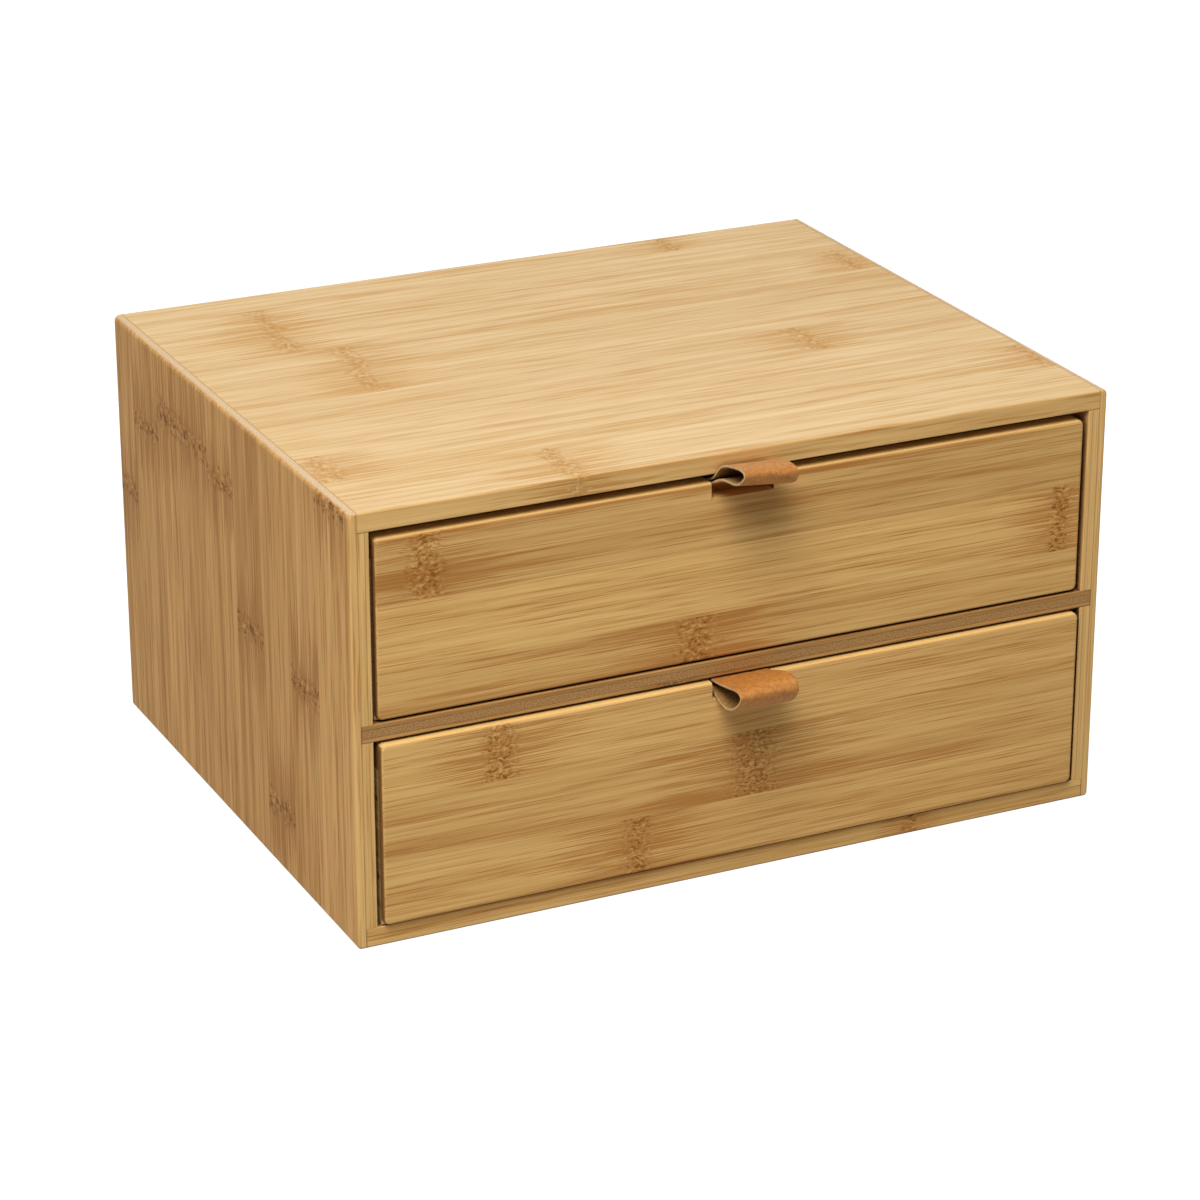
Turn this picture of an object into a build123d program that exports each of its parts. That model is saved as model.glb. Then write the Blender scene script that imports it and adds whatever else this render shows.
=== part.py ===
from build123d import *
import os

# Tabletop box of bamboo board with two drawers and folded leather pulls.
# Millimetres, +Z up, front towards -Y, origin under the middle of the case on the surface it stands on.

# Case boards
case_width = 320.0
case_depth = 255.0
case_height = 175.0
side_thickness = 8.0
top_thickness = 8.0
bottom_thickness = 8.0
shelf_thickness = 7.0
back_thickness = 4.0
housing_depth = 4.8
back_lap = 4.0
top_round = 2.4
foot_round = 1.5
edge_round = 1.0
eased_edge = 0.5

# Drawer boards
drawer_side_gap = 1.8
upper_top_gap = 3.6
lower_top_gap = 1.2
runner_gap = 0.3
upper_front_lift = 0.5
lower_front_lift = 0.6
stop_gap = 0.3
home_recess = 0.3
lower_pull_out = 2.5
front_thickness = 8.0
front_lap = 3.0
front_corner_round = 2.4
front_edge_round = 1.3
wall_thickness = 6.0
wall_top_gap = 11.4
tray_thickness = 3.0
tray_lift = 5.0
groove_depth = 3.0
notch_width = 26.4
notch_depth = 6.5

# Leather straps
strap_width = 24.4
strap_thickness = 1.1
strap_fold_gap = 0.5
strap_tail = 18.0
strap_bend = 2.2
strap_clearance = 0.35
upper_loop_reach = 22.8
lower_loop_reach = 21.0

# Pins and tacks
pin_radius = 0.6
pin_length = 13.0
pin_head_radius = 1.1
pin_head_height = 0.6
tack_radius = 0.7
tack_head_radius = 2.4
tack_head_height = 0.9
tack_bite = 5.0
nail_hole_clearance = 0.05

# Places of the pins, as shares of the board that they go through
back_row_shares = (-0.4, 0.0, 0.4)
back_shelf_shares = (-0.3, 0.3)
back_side_shares = (0.25, 0.75)
drawer_pin_shares = (0.3, 0.8)
tack_shares = (-0.25, 0.25)

# Upper loop: corners past the front edge of the roof as shares (out, up, bend) of its reach
upper_lean = 35.0
upper_tail_rise_share = 0.75
upper_fold_rise_share = 0.55
upper_run_share = 0.044
upper_tip_shares = (
    (0.816, -0.001, 0.35),
    (0.984, 0.139, 0.12),
    (0.906, 0.309, 0.12),
    (0.535, 0.259, 1.1),
)
upper_under_bend_share = 0.35
upper_over_bend_share = 0.4

# Lower loop: corners out from the drawer face and up from the notch floor, as shares of its reach
lower_crest_share = 0.164
lower_fold_rise_share = 0.35
lower_tip_shares = (
    (0.205, -0.017, 0.48),
    (0.695, -0.012, 0.476),
    (1.004, 0.33, 0.11),
    (0.924, 0.47, 0.11),
)

# Case levels and planes
half_width = case_width / 2
front_y = -case_depth / 2
rear_y = case_depth / 2
inside_x = half_width - side_thickness
housed_x = inside_x + housing_depth
back_y = rear_y - back_thickness
opening_height = (case_height - top_thickness - shelf_thickness - bottom_thickness) / 2
shelf_z = bottom_thickness + opening_height
upper_floor_z = shelf_z + shelf_thickness
roof_z = case_height - top_thickness

# Drawer sizes worked out from the opening that each one fills
drawer_half_width = inside_x - drawer_side_gap
drawer_inside_x = drawer_half_width - wall_thickness
wall_height = opening_height - runner_gap - wall_top_gap
home_y = front_y + home_recess
drawer_length = back_y - stop_gap - home_y
strap_pitch = strap_thickness + strap_fold_gap


def block(low, high):
    """Solid box between two opposite corners."""
    size = Vector(*high) - Vector(*low)
    return Pos(*low) * Box(size.X, size.Y, size.Z, align=(Align.MIN, Align.MIN, Align.MIN))


def nail(place, way, radius, length, head_radius, head_height, grow=0):
    """Headed nail from its head at place along way; grow widens it into the hole that it makes."""
    base = (Align.CENTER, Align.CENTER, Align.MIN)
    head = Cylinder(head_radius + grow, head_height, align=base)
    shank = Cylinder(radius + grow, length, align=base)
    return Plane(place, z_dir=way) * (head + shank)


def pin(place, way, grow=0):
    """Board pin with its head flush at place."""
    return nail(place, way, pin_radius, pin_length, pin_head_radius, pin_head_height, grow)


def cut(board, tools):
    """Board with each tool taken out of it."""
    for tool in tools:
        board = board - tool
    return board


def side_blank(side):
    """Side panel before its housings, on the +X (1) or -X (-1) side, rounded where it shows."""
    low_x, high_x = sorted((side * inside_x, side * half_width))
    board = block((low_x, front_y, 0), (high_x, rear_y, case_height))
    outer_x = side * half_width
    for level, radius in ((0, foot_round), (case_height, top_round)):
        corners = board.edges().filter_by(Axis.Y).filter_by_position(Axis.X, outer_x, outer_x)
        board = fillet(corners.filter_by_position(Axis.Z, level, level), radius)
    inner_x = side * inside_x
    for end in (0, -1):
        outline = board.faces().sort_by(Axis.Y)[end].edges()
        inner = outline.filter_by_position(Axis.X, inner_x, inner_x)
        board = fillet([edge for edge in outline if edge not in inner], edge_round)
    return board


def panel_blank(low_z, thickness, rear):
    """Level board housed in both sides, from the case front back to rear."""
    return block((-housed_x, front_y, low_z), (housed_x, rear, low_z + thickness))


def long_edges(board, z, rear=True):
    """Front edge of a level board at height z, with its rear edge if asked."""
    edges = board.edges().filter_by(Axis.X).filter_by_position(Axis.Z, z, z).sort_by(Axis.Y)
    return [edges[0], edges[-1]] if rear else [edges[0]]


def back_blank():
    """Back panel, lapped into the rebate of the boards round it."""
    half = inside_x + back_lap
    return block((-half, back_y, bottom_thickness - back_lap), (half, rear_y, roof_z + back_lap))


def back_pins(grow=0):
    """Pins that hold the back panel to the boards round it and to the shelf."""
    panel = back_blank().bounding_box()
    width = panel.size.X
    rail_x = inside_x + back_lap / 2
    places = []
    for share in back_row_shares:
        places.append((share * width, roof_z + back_lap / 2))
        places.append((share * width, bottom_thickness - back_lap / 2))
    for share in back_shelf_shares:
        places.append((share * width, shelf_z + shelf_thickness / 2))
    for share in back_side_shares:
        z = panel.min.Z + share * panel.size.Z
        places += [(-rail_x, z), (rail_x, z)]
    return [pin((x, rear_y, z), (0, -1, 0), grow) for x, z in places]


def case_top():
    """Top panel, rounded along its upper front and rear edges."""
    board = panel_blank(roof_z, top_thickness, rear_y)
    board = fillet(long_edges(board, case_height), edge_round)
    return fillet(long_edges(board, roof_z, rear=False), eased_edge)


def case_bottom():
    """Bottom panel, rounded along its lower front and rear edges."""
    board = panel_blank(0, bottom_thickness, rear_y)
    board = fillet(long_edges(board, 0), edge_round)
    return fillet(long_edges(board, bottom_thickness, rear=False), eased_edge)


def case_shelf():
    """Shelf between the drawers, its front edges eased."""
    board = panel_blank(shelf_z, shelf_thickness, back_y)
    board = fillet(long_edges(board, shelf_z, rear=False), eased_edge)
    return fillet(long_edges(board, upper_floor_z, rear=False), eased_edge)


def side_panel(side, holes):
    """Side panel with its rebates, shelf housing and pin holes."""
    housed = [
        panel_blank(0, bottom_thickness, rear_y),
        panel_blank(shelf_z, shelf_thickness, back_y),
        panel_blank(roof_z, top_thickness, rear_y),
    ]
    board = cut(side_blank(side), housed)
    mouth = board.edges().filter_by(Axis.Z).filter_by_position(Axis.Y, front_y, front_y)
    inner_x = side * inside_x
    mouth = mouth.filter_by_position(Axis.X, inner_x, inner_x)
    return cut(fillet(mouth, eased_edge), [back_blank()] + holes)


def case_pieces():
    """Boards and pins of the fixed case, by node name."""
    holes = back_pins(nail_hole_clearance)
    rebate = [back_blank()]
    return {
        "left_side_panel": side_panel(-1, holes),
        "right_side_panel": side_panel(1, holes),
        "top_panel": cut(case_top(), rebate + holes),
        "bottom_panel": cut(case_bottom(), rebate + holes),
        "middle_shelf": cut(case_shelf(), holes),
        "back_panel": cut(back_blank(), holes),
        "back_panel_pins": Compound(children=back_pins()),
    }


def front_board(face_y, low_z, top_z):
    """Drawer front before its cuts: corners rounded, face edge rounded over, rear edge eased."""
    low = (-drawer_half_width, face_y, low_z)
    board = block(low, (drawer_half_width, face_y + front_thickness, top_z))
    board = fillet(board.edges().filter_by(Axis.Y), front_corner_round)
    board = fillet(board.faces().sort_by(Axis.Y)[0].edges(), front_edge_round)
    return fillet(board.faces().sort_by(Axis.Y)[-1].edges(), eased_edge)


def wall_board(low, high, along):
    """Drawer side or back with both long upper edges eased."""
    board = block(low, high)
    upper = board.faces().sort_by(Axis.Z)[-1].edges().filter_by(along)
    return fillet(upper, eased_edge)


def drawer_side(side, face_y, base_z):
    """Drawer side, from the lap of the front to the rear of the drawer."""
    low_x, high_x = sorted((side * drawer_inside_x, side * drawer_half_width))
    low = (low_x, face_y + front_lap, base_z)
    return wall_board(low, (high_x, face_y + drawer_length, base_z + wall_height), Axis.Y)


def drawer_back(face_y, base_z):
    """Drawer back, between the two sides."""
    low = (-drawer_inside_x, face_y + drawer_length - wall_thickness, base_z)
    return wall_board(low, (drawer_inside_x, face_y + drawer_length, base_z + wall_height), Axis.X)


def drawer_tray(face_y, base_z):
    """Drawer bottom, let into a groove on all four sides."""
    half = drawer_inside_x + groove_depth
    front = face_y + front_thickness - groove_depth
    rear = face_y + drawer_length - wall_thickness + groove_depth
    low_z = base_z + tray_lift
    return block((-half, front, low_z), (half, rear, low_z + tray_thickness))


def drawer_pins(face_y, base_z, grow=0):
    """Pins through the drawer sides into the ends of its front and back."""
    front_row = face_y + (front_lap + front_thickness) / 2
    rear_row = face_y + drawer_length - wall_thickness / 2
    pins = []
    for side in (-1, 1):
        for y in (front_row, rear_row):
            for share in drawer_pin_shares:
                place = (side * drawer_half_width, y, base_z + share * wall_height)
                pins.append(pin(place, (-side, 0, 0), grow))
    return pins


def pull_tacks(face_y, top_z, grow=0):
    """Tacks through both tails of the strap into the back of the drawer front."""
    head_y = face_y + front_thickness + strap_pitch + strap_thickness + tack_head_height
    length = head_y - face_y - front_thickness + tack_bite
    z = top_z - notch_depth - strap_tail / 2
    sizes = (tack_radius, length, tack_head_radius, tack_head_height, grow)
    return [nail((share * strap_width, head_y, z), (0, -1, 0), *sizes) for share in tack_shares]


def upper_strap_corners():
    """Corners (out, up, bend) of the upper strap from the drawer face and top edge.

    Both strips climb out of the notch, pass under the front edge of the roof and tip up in front of it.
    """
    tail_out = -front_thickness - strap_thickness / 2
    tail_up = -notch_depth + upper_tail_rise_share * strap_bend
    edge = Vector(home_recess, upper_top_gap)
    across = Vector(0, -1).rotate(Axis.Z, upper_lean)
    along = Vector(1, 0).rotate(Axis.Z, upper_lean)
    over = edge + across * (strap_thickness / 2 + strap_clearance)
    under = over + across * strap_pitch + along * (upper_run_share * upper_loop_reach)
    corners = [(tail_out, tail_up, strap_bend)]
    corners.append((under.X, under.Y, upper_under_bend_share * upper_loop_reach))
    for out, up, bend in upper_tip_shares:
        tip = edge + Vector(out, up) * upper_loop_reach
        corners.append((tip.X, tip.Y, bend * upper_loop_reach))
    corners.append((over.X, over.Y, upper_over_bend_share * upper_loop_reach))
    corners.append((tail_out - strap_pitch, tail_up + upper_fold_rise_share * strap_pitch, strap_bend))
    return corners


def lower_strap_corners():
    """Corners (out, up, bend) of the lower strap, which lies out level with its belly hanging down."""
    tail_out = -front_thickness - strap_thickness / 2
    crest = -notch_depth + lower_crest_share * lower_loop_reach
    corners = [(tail_out, crest, strap_bend)]
    for out, up, bend in lower_tip_shares:
        rise = up * lower_loop_reach - notch_depth
        corners.append((out * lower_loop_reach, rise, bend * lower_loop_reach))
    corners.append((tail_out - strap_pitch, crest + lower_fold_rise_share * strap_pitch, strap_bend))
    return corners


def strap(corners, face_y, top_z):
    """Leather strap folded along its corners, both tails hanging behind the drawer front."""
    end = -notch_depth - strap_tail
    points = [(corners[0][0], end)] + [corner[:2] for corner in corners] + [(corners[-1][0], end)]
    bends = [corner[2] for corner in corners]
    side_view = Plane((0, face_y, top_z), x_dir=(0, -1, 0), z_dir=(-1, 0, 0))
    path = side_view * FilletPolyline(*points, radius=bends)
    section = Plane(path @ 0, x_dir=(1, 0, 0), z_dir=path % 0) * Rectangle(strap_width, strap_thickness)
    return sweep(section, path)


def drawer_pieces(name, floor_z, front_lift, top_gap, pull_out, strap_corners):
    """Boards, strap, tacks and pins of one drawer standing pull_out from home, by node name.

    Its front begins front_lift over the foot of its walls and ends top_gap under the board above.
    """
    face_y = home_y - pull_out
    base_z = floor_z + runner_gap
    top_z = floor_z + opening_height - top_gap
    walls = [drawer_side(side, face_y, base_z) for side in (-1, 1)]
    tray = drawer_tray(face_y, base_z)
    pin_holes = drawer_pins(face_y, base_z, nail_hole_clearance)
    tack_holes = pull_tacks(face_y, top_z, nail_hole_clearance)
    notch_low = (-notch_width / 2, face_y, top_z - notch_depth)
    notch = block(notch_low, (notch_width / 2, face_y + front_thickness, top_z))
    front = front_board(face_y, base_z + front_lift, top_z)
    pieces = {
        "front": cut(front, walls + [tray, notch] + pin_holes + tack_holes),
        "left_side": cut(walls[0], [tray] + pin_holes),
        "right_side": cut(walls[1], [tray] + pin_holes),
        "back": cut(drawer_back(face_y, base_z), [tray] + pin_holes),
        "bottom": tray,
        "pull_strap": cut(strap(strap_corners, face_y, top_z), tack_holes),
        "pull_tacks": Compound(children=pull_tacks(face_y, top_z)),
        "pins": Compound(children=drawer_pins(face_y, base_z)),
    }
    return {f"{name}_{piece}": shape for piece, shape in pieces.items()}


os.makedirs("parts", exist_ok=True)
nodes = case_pieces()
upper_corners = upper_strap_corners()
lower_corners = lower_strap_corners()
upper_setting = (upper_front_lift, upper_top_gap, 0)
lower_setting = (lower_front_lift, lower_top_gap, lower_pull_out)
nodes.update(drawer_pieces("upper_drawer", upper_floor_z, *upper_setting, upper_corners))
nodes.update(drawer_pieces("lower_drawer", bottom_thickness, *lower_setting, lower_corners))
for node, shape in nodes.items():
    export_step(shape, f"parts/{node}.step")
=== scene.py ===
"""Looks of a tabletop bamboo box with two drawers and folded leather pulls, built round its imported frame.

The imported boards, pins and tacks stay where they are and are dressed in bamboo and steel. The two leather
loops are modelled here, in the place of their plain solids.
"""

import logging
import math
import random
from collections.abc import Iterable, Mapping
from dataclasses import dataclass
from enum import Enum
from functools import partial
from itertools import starmap
from typing import NamedTuple

import bmesh
import bpy
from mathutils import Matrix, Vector

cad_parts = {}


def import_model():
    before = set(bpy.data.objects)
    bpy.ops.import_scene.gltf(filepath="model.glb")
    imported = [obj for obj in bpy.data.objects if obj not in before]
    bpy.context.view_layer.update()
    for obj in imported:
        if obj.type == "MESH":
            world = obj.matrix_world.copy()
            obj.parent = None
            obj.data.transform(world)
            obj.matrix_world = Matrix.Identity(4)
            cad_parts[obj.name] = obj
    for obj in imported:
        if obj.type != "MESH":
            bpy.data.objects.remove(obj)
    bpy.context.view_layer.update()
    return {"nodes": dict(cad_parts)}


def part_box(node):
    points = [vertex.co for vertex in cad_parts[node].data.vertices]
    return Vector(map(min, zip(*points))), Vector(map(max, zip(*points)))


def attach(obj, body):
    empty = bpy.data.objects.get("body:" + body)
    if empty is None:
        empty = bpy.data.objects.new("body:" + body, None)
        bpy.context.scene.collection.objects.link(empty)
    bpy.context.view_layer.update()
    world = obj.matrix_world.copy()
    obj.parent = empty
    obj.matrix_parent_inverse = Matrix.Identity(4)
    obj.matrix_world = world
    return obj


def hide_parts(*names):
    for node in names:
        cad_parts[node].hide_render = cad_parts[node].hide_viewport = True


LOG = logging.getLogger("drawer_box")
MM = 0.001
PHOTO_SIDE = 1200
SENSOR_WIDTH = 36.0

Colour = tuple[float, float, float, float]
Point = tuple[float, float]
Place = tuple[float, float, float]
Socket = bpy.types.NodeSocket


def linear(code: str) -> Colour:
    """Turn an sRGB hex colour into a linear one.

    Args:
        code: Six hex digits after a hash.

    Returns:
        Linear red, green and blue, with full alpha.
    """
    channels = (int(code[start : start + 2], 16) / 255 for start in (1, 3, 5))
    red, green, blue = (c / 12.92 if c <= 0.04045 else ((c + 0.055) / 1.055) ** 2.4 for c in channels)
    return red, green, blue, 1.0


class Graph:
    """Node graph of one material or of the world, filled through a single method."""

    def __init__(self, tree: bpy.types.NodeTree) -> None:
        """Start from an emptied node tree."""
        tree.nodes.clear()
        self.tree = tree

    def add(
        self, kind: str, inputs: Mapping[int | str, object] | None = None, **settings: object
    ) -> bpy.types.Node:
        """Add one node with its settings and links.

        Args:
            kind: Node type without its ShaderNode prefix.
            inputs: Values, or output sockets to link, for the node's inputs, by index or name.
            settings: Attributes of the node itself.

        Returns:
            The new node.
        """
        node = self.tree.nodes.new("ShaderNode" + kind)
        for name, value in settings.items():
            setattr(node, name, value)
        for key, value in (inputs or {}).items():
            if isinstance(value, Socket):
                self.tree.links.new(value, node.inputs[key])
            else:
                node.inputs[key].default_value = value
        return node


def new_material(name: str) -> tuple[bpy.types.Material, Graph]:
    """Make a material with an empty graph.

    Args:
        name: Name of the finish, in plain words.

    Returns:
        The material and its graph.
    """
    material = bpy.data.materials.new(name)
    material.use_nodes = True
    return material, Graph(material.node_tree)


@dataclass(frozen=True)
class Ramp:
    """How a value that runs from start to stop becomes one from low to high, held at both ends."""

    start: float
    stop: float
    low: float = 0.0
    high: float = 1.0

    def of(self, value: Socket) -> dict[str, object]:
        """Inputs of a Map Range node that turns the value so, by name."""
        ends = {"From Min": self.start, "From Max": self.stop, "To Min": self.low, "To Max": self.high}
        return {"Value": value, **ends}


class Lay(Enum):
    """How a board lies: the directions along its fibres, across its strips and through its thickness."""

    LEVEL = ((1, 0, 0), (0, 1, 0), (0, 0, 1))
    FACING = ((1, 0, 0), (0, 0, 1), (0, 1, 0))
    UPRIGHT = ((0, 0, 1), (0, 1, 0), (1, 0, 0))
    UPRIGHT_MIRRORED = ((0, 0, 1), (0, 1, 0), (-1, 0, 0))
    RUNNING_BACK = ((0, 1, 0), (0, 0, 1), (1, 0, 0))

    def __init__(self, along: Place, across: Place, through: Place) -> None:
        """Keep the three directions by name."""
        self.along = along
        self.across = across
        self.through = through


class Distances(NamedTuple):
    """Distances along, across and through a board, in millimetres."""

    along: Socket
    across: Socket
    through: Socket


class Grain(NamedTuple):
    """Noises and masks that colour a board's fibres."""

    hair: Socket
    fibre: Socket
    streak: Socket
    halo: Socket
    brown: Socket


@dataclass(frozen=True)
class BambooTone:
    """Colours of one board's bamboo, from its palest fibre to its cane rings and end grain, and its painted
    top edge highlight.
    """

    pale: str
    mid: str
    streak: str
    ring: str
    end: str
    pore: str
    # Painted highlight on the rounded top edge where it faces up
    top_highlight: str = "#EABE76"


@dataclass(frozen=True)
class CaneRing:
    """Ring of the cane where a leaf grew, seen as a ragged brown band across one strip, in millimetres."""

    strip: int
    along: float
    half_length: float


@dataclass(frozen=True)
class BambooBoard:
    """Bamboo strips glued side by side, flat from sanding and sealed with satin lacquer.

    The eye sees broad strips of slightly different gold, fine fibres along them, brown streaks, and here and
    there the ragged brown band of a cane ring that stops at the edges of its strip. Ends show the fibres as
    dots.
    """

    node: str
    lay: Lay
    tone: BambooTone
    seed: int
    first_seam: float
    strip_width: float
    rings: tuple[CaneRing, ...]
    browns: tuple[tuple[int, float], ...] = ()
    plies: tuple[float, ...] = ()
    crossed_core: bool = False
    end_line: float | None = None
    edge_tone: BambooTone | None = None
    # Height across the board, in millimetres, above which faces turned up get a painted highlight
    highlight_above: float | None = None
    # Whether ambient occlusion paints shade where a shut drawer or the floor is near
    shaded_gaps: bool = False
    coarse: float = 1.0

    # Length along the fibres and width across them of one patch of each pattern, in millimetres
    HAIR_SIZE = (38.0, 0.42)
    FIBRE_SIZE = (110.0, 1.4)
    STREAK_SIZE = (240.0, 8.0)
    FLECK_SIZE = (2.0, 1.0)
    RAGGED_SIZE = (9.0, 1.8)

    # Other sizes, in millimetres
    RAGGED_REACH = 12.0
    SWIRL_SIZE = 6.25
    SWIRL_REACH = 5.0
    STRIP_SHIFT = 930.0
    PORE_SIZE = 0.7
    GAP_REACH = 9.0
    HOUSING_LINE = 0.5
    RELIEF_HEIGHT = 0.15

    # Noise: octaves, how strong the finer ones are, and its middle value
    GRAIN_DETAIL = 2.0
    STREAK_DETAIL = 3.0
    NOISE_ROUGHNESS = 0.6
    NOISE_MIDDLE = 0.5

    # Numbers that keep strips and plies apart
    PLY_STEP = 17.0
    SAME_STRIP = 0.1

    # Fibres: light wood, brown streaks, dark and light hairs, and the value of a brown strip
    FIBRE_LIGHT = Ramp(0.34, 0.66)
    STREAK_BROWN = Ramp(0.42, 0.68, 0.14, 0.85)
    HAIR_DARK = Ramp(0.7, 0.86, 0.0, 0.8)
    HAIR_LIGHT = Ramp(0.62, 0.47, 0.0, 0.52)
    STREAK_CROWDING = 0.35
    HALO_CROWDING = 0.14
    BROWN_VALUE = Ramp(0.0, 1.0, 1.04, 0.92)

    # Cane rings: how wide their halo is, where they fade out, and their stain, dark and light flecks
    HALO_SHARE = 4.5
    RING_FADE = (1.15, 0.15)
    RING_STAIN = Ramp(0.3, 0.6, 0.25, 0.7)
    RING_DARK = Ramp(0.54, 0.64, 0.0, 0.82)
    # The light flecks are partly pale fibre and partly painted highlight on the ring's ridges
    RING_PALE_AND_HIGHLIGHT = Ramp(0.44, 0.36, 0.0, 0.5)

    # Ends, edges and seams, a painted highlight on top edges and painted shade in gaps
    END_FACING = Ramp(0.55, 0.85)
    EDGE_FACING = Ramp(0.4, 0.8)
    PORE_WALL = Ramp(0.15, 0.45)
    SEAM_LINE = Ramp(0.35, 0.0, 0.0, 0.3)
    PLY_LINE = Ramp(0.3, 0.0, 0.0, 0.5)
    HOUSING_SHADE = 0.9
    # Painted highlight on faces that turn up
    HIGHLIGHT_FACING = Ramp(0.45, 0.85, 0.0, 0.9)
    # Painted shade: ambient occlusion darkens the case where a shut drawer or the floor is near
    GAP_OPEN = Ramp(0.15, 0.45)
    GAP_SAMPLES = 8
    GAP_SHADE_TONE = "#3E220E"

    # Lacquer
    HAIR_RELIEF = 0.3
    RELIEF_STRENGTH = 0.22
    ROUGHNESS = Ramp(0.3, 0.7, 0.5, 0.4)
    SPECULAR = 0.02

    def material(self) -> bpy.types.Material:
        """Build the board's material.

        Returns:
            The finished material, in the board's own directions and millimetres.
        """
        material, graph = new_material(f"satin_bamboo_{self.node}")
        at = self._distances(graph)
        strip, edge = self._strips(graph, at)
        chance = graph.add("TexWhiteNoise", {"W": strip}, noise_dimensions="1D").outputs["Value"]
        brown = self._brownness(graph, strip, chance)
        ring, halo = self._ring_masks(graph, at, strip)
        place = self._place(graph, at, chance, ring)
        hair, fibre, fleck = (
            self._layer(graph, place, (length, width * self.coarse), self.GRAIN_DETAIL)
            for length, width in (self.HAIR_SIZE, self.FIBRE_SIZE, self.FLECK_SIZE)
        )
        streak = self._layer(graph, place, self.STREAK_SIZE, self.STREAK_DETAIL)
        grain = Grain(hair, fibre, streak, halo, brown)
        colour = self._wood_colour(graph, self.tone, grain)
        if self.edge_tone:
            edges = self._wood_colour(graph, self.edge_tone, grain)
            on_edges = self.EDGE_FACING.of(self._facing(graph, self.lay.across))
            on_edges = graph.add("MapRange", on_edges).outputs[0]
            colour = graph.add("Mix", {0: on_edges, 6: colour, 7: edges}, data_type="RGBA").outputs[2]
        colour = self._ring_colour(graph, colour, ring, fleck)
        colour = self._end_colour(graph, colour, at)
        colour = self._seam_colour(graph, colour, edge, at)
        # Painted highlight on the upward-facing rounded top edge
        if self.highlight_above is not None:
            colour = self._painted_top_highlight(graph, colour, at)
        # Painted shade in the gaps round shut drawers and near the floor
        if self.shaded_gaps:
            colour = self._painted_gap_shade(graph, colour)
        relief = graph.add("Math", {0: fleck, 1: ring}, operation="MULTIPLY").outputs[0]
        relief = {0: hair, 1: self.HAIR_RELIEF, 2: relief}
        relief = graph.add("Math", relief, operation="MULTIPLY_ADD").outputs[0]
        bump = {"Strength": self.RELIEF_STRENGTH, "Distance": self.RELIEF_HEIGHT * MM, "Height": relief}
        surface = {
            "Base Color": colour,
            "Roughness": graph.add("MapRange", self.ROUGHNESS.of(fibre)).outputs[0],
            "Specular IOR Level": self.SPECULAR,
            "Normal": graph.add("Bump", bump).outputs[0],
        }
        surface = graph.add("BsdfPrincipled", surface).outputs[0]
        graph.add("OutputMaterial", {"Surface": surface})
        return material

    def _distances(self, graph: Graph) -> Distances:
        """Distances in the board's own directions.

        Args:
            graph: Graph to add to.

        Returns:
            The distances.
        """
        place = graph.add("TexCoord").outputs["Object"]
        lay = self.lay
        ways = [tuple(share / MM for share in way) for way in (lay.along, lay.across, lay.through)]
        dots = (graph.add("VectorMath", {0: place, 1: way}, operation="DOT_PRODUCT") for way in ways)
        return Distances(*(dot.outputs["Value"] for dot in dots))

    def _facing(self, graph: Graph, way: Place) -> Socket:
        """How squarely the surface faces one of the board's directions.

        Args:
            graph: Graph to add to.
            way: The direction.

        Returns:
            A share from 0 to 1.
        """
        normal = graph.add("NewGeometry").outputs["Normal"]
        facing = graph.add("VectorMath", {0: normal, 1: way}, operation="DOT_PRODUCT")
        return graph.add("Math", {0: facing.outputs["Value"]}, operation="ABSOLUTE").outputs[0]

    def _strips(self, graph: Graph, at: Distances) -> tuple[Socket, Socket]:
        """Number the strips.

        Args:
            graph: Graph to add to.
            at: Distances in the board.

        Returns:
            A number for each strip and ply, and how far each point is from its strip's first seam.
        """
        start = graph.add("Math", {0: at.across, 1: self.first_seam}, operation="SUBTRACT").outputs[0]
        count = graph.add("Math", {0: start, 1: self.strip_width}, operation="DIVIDE").outputs[0]
        strip = graph.add("Math", {0: count}, operation="FLOOR").outputs[0]
        edge = graph.add("Math", {0: count}, operation="FRACT").outputs[0]
        edge = graph.add("Math", {0: edge, 1: self.strip_width}, operation="MULTIPLY").outputs[0]
        strip = graph.add("Math", {0: strip, 1: float(self.seed)}, operation="ADD").outputs[0]
        for depth in self.plies:
            past = graph.add("Math", {0: at.through, 1: depth}, operation="GREATER_THAN").outputs[0]
            step = {0: past, 1: self.PLY_STEP, 2: strip}
            strip = graph.add("Math", step, operation="MULTIPLY_ADD").outputs[0]
        return strip, edge

    def _on_strip(self, graph: Graph, strip: Socket, index: int) -> Socket:
        """Mask of one strip, by its index counted from the first seam."""
        same = {0: strip, 1: float(index + self.seed), 2: self.SAME_STRIP}
        return graph.add("Math", same, operation="COMPARE").outputs[0]

    def _brownness(self, graph: Graph, strip: Socket, chance: Socket) -> Socket:
        """How brown each strip is, read for the boards in view and left to chance on the others.

        Args:
            graph: Graph to add to.
            strip: Number of the strip.
            chance: Random number of the strip.

        Returns:
            A share from 0 to 1.
        """
        if not self.browns:
            return chance
        share = 0.0
        for index, brown in self.browns:
            added = {0: self._on_strip(graph, strip, index), 1: brown, 2: share}
            share = graph.add("Math", added, operation="MULTIPLY_ADD").outputs[0]
        return share

    def _layer(self, graph: Graph, place: Socket, size: tuple[float, float], detail: float) -> Socket:
        """Noise drawn out along the fibres.

        Args:
            graph: Graph to add to.
            place: Point in the board's directions.
            size: Length along and width across one patch, in millimetres.
            detail: Octaves of finer noise.

        Returns:
            Noise from 0 to 1.
        """
        length, width = size
        scale = (1 / length, 1 / width, 1 / width)
        scaled = graph.add("VectorMath", {0: place, 1: scale}, operation="MULTIPLY").outputs[0]
        noise = {"Vector": scaled, "Scale": 1.0, "Detail": detail, "Roughness": self.NOISE_ROUGHNESS}
        return graph.add("TexNoise", noise).outputs[0]

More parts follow.
